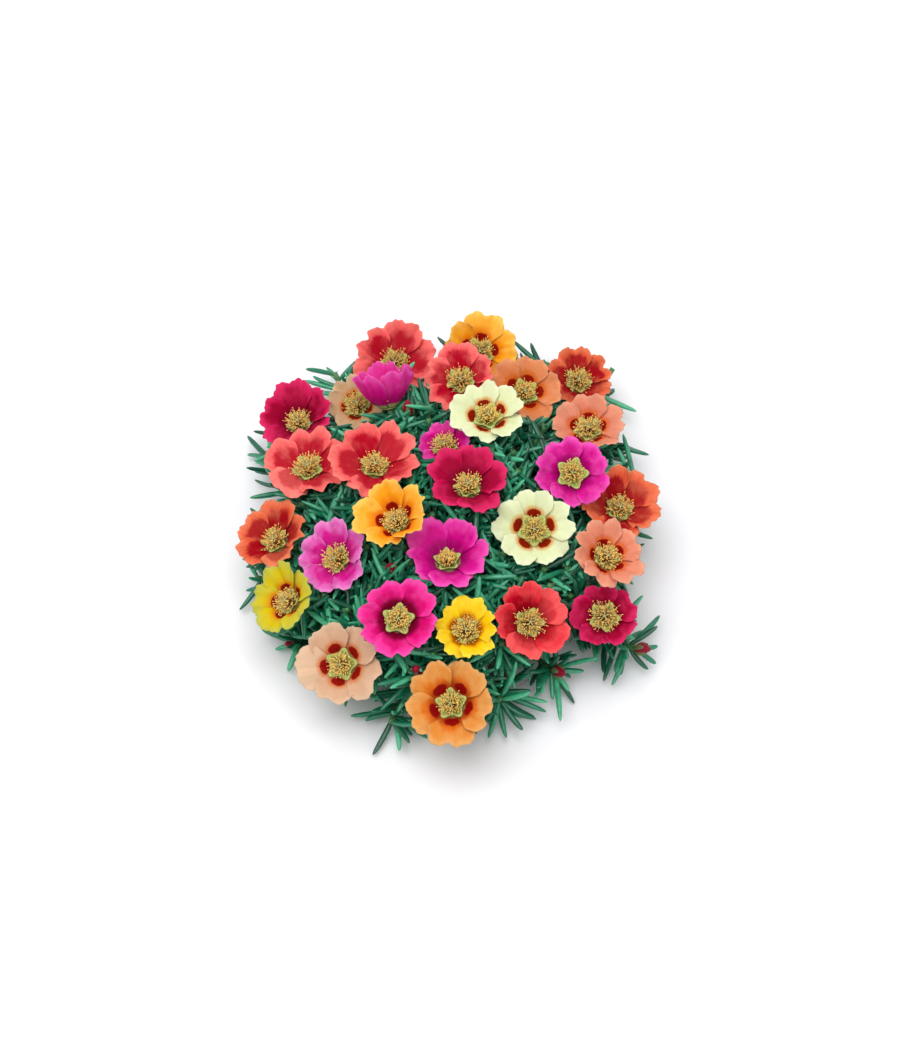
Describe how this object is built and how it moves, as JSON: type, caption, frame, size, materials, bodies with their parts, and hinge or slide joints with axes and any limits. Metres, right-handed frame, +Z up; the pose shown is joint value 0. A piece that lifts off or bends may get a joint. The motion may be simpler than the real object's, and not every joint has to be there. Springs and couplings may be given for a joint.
{
  "type": "portulaca",
  "caption": "Low mound of moss rose in flower: open five-petalled cups in mixed warm colours over fleshy round leaves, cut whole at ground level",
  "frame": {"origin": "on the surface that the plant rests on, under the middle of the mound", "axes": "+Z up out of the mound, -Y toward the viewer's side, +X to the viewer's right"},
  "size_m": [0.2127, 0.249, 0.0816],
  "materials": {
    "petal_coral": "satin, thin, fine radial veins",
    "petal_golden": "satin, thin, fine radial veins",
    "petal_apricot": "satin, thin, fine radial veins",
    "petal_flame": "satin, thin, fine radial veins",
    "petal_salmon": "satin, thin, fine radial veins",
    "petal_cream": "satin, thin, fine radial veins",
    "petal_magenta": "satin, thin, fine radial veins",
    "petal_buff": "satin, thin, fine radial veins",
    "petal_crimson": "satin, thin, fine radial veins",
    "petal_purple": "satin, thin, fine radial veins",
    "petal_pink": "satin, thin, fine radial veins",
    "petal_lemon": "satin, thin, fine radial veins",
    "petal_hot_pink": "satin, thin, fine radial veins",
    "petal_yellow": "satin, thin, fine radial veins",
    "petal_scarlet": "satin, thin, fine radial veins",
    "petal_peach": "satin, thin, fine radial veins",
    "petal_orange": "satin, thin, fine radial veins",
    "flower_centre": "matt, powdery stamens in a pale green star cup",
    "leaf_green": "fleshy, waxy, softly glossy"
  },
  "bodies": {
    "root": {"bloom_01_coral_back_left_petals": "petal_coral", "bloom_01_coral_back_left_centre": "flower_centre", "bloom_02_golden_back_petals": "petal_golden", "bloom_02_golden_back_centre": "flower_centre", "bloom_03_coral_back_petals": "petal_coral", "bloom_03_coral_back_centre": "flower_centre", "bloom_04_apricot_back_right_petals": "petal_apricot", "bloom_04_apricot_back_right_centre": "flower_centre", "bloom_05_flame_back_right_petals": "petal_flame", "bloom_05_flame_back_right_centre": "flower_centre", "bloom_06_salmon_right_petals": "petal_salmon", "bloom_06_salmon_right_centre": "flower_centre", "bloom_07_cream_back_petals": "petal_cream", "bloom_07_cream_back_centre": "flower_centre", "bloom_08_magenta_side_petals": "petal_magenta", "bloom_08_magenta_side_centre": "flower_centre", "bloom_09_buff_left_petals": "petal_buff", "bloom_09_buff_left_centre": "flower_centre", "bloom_10_crimson_left_petals": "petal_crimson", "bloom_10_crimson_left_centre": "flower_centre", "bloom_11_coral_left_petals": "petal_coral", "bloom_11_coral_left_centre": "flower_centre", "bloom_12_coral_middle_left_petals": "petal_coral", "bloom_12_coral_middle_left_centre": "flower_centre", "bloom_13_magenta_small_petals": "petal_magenta", "bloom_13_magenta_small_centre": "flower_centre", "bloom_14_crimson_middle_petals": "petal_crimson", "bloom_14_crimson_middle_centre": "flower_centre", "bloom_15_golden_middle_petals": "petal_golden", "bloom_15_golden_middle_centre": "flower_centre", "bloom_16_purple_star_petals": "petal_purple", "bloom_16_purple_star_centre": "flower_centre", "bloom_17_flame_right_petals": "petal_flame", "bloom_17_flame_right_centre": "flower_centre", "bloom_18_cream_front_petals": "petal_cream", "bloom_18_cream_front_centre": "flower_centre", "bloom_19_salmon_front_right_petals": "petal_salmon", "bloom_19_salmon_front_right_centre": "flower_centre", "bloom_20_flame_left_petals": "petal_flame", "bloom_20_flame_left_centre": "flower_centre", "bloom_21_pink_left_petals": "petal_pink", "bloom_21_pink_left_centre": "flower_centre", "bloom_22_magenta_middle_petals": "petal_purple", "bloom_22_magenta_middle_centre": "flower_centre", "bloom_23_lemon_left_petals": "petal_lemon", "bloom_23_lemon_left_centre": "flower_centre", "bloom_24_hot_pink_front_petals": "petal_hot_pink", "bloom_24_hot_pink_front_centre": "flower_centre", "bloom_25_yellow_front_petals": "petal_yellow", "bloom_25_yellow_front_centre": "flower_centre", "bloom_26_scarlet_front_petals": "petal_scarlet", "bloom_26_scarlet_front_centre": "flower_centre", "bloom_27_crimson_front_right_petals": "petal_crimson", "bloom_27_crimson_front_right_centre": "flower_centre", "bloom_28_peach_front_left_petals": "petal_peach", "bloom_28_peach_front_left_centre": "flower_centre", "bloom_29_orange_front_petals": "petal_orange", "bloom_29_orange_front_centre": "flower_centre", "leafy_stems": "leaf_green"}
  },
  "joints": []
}
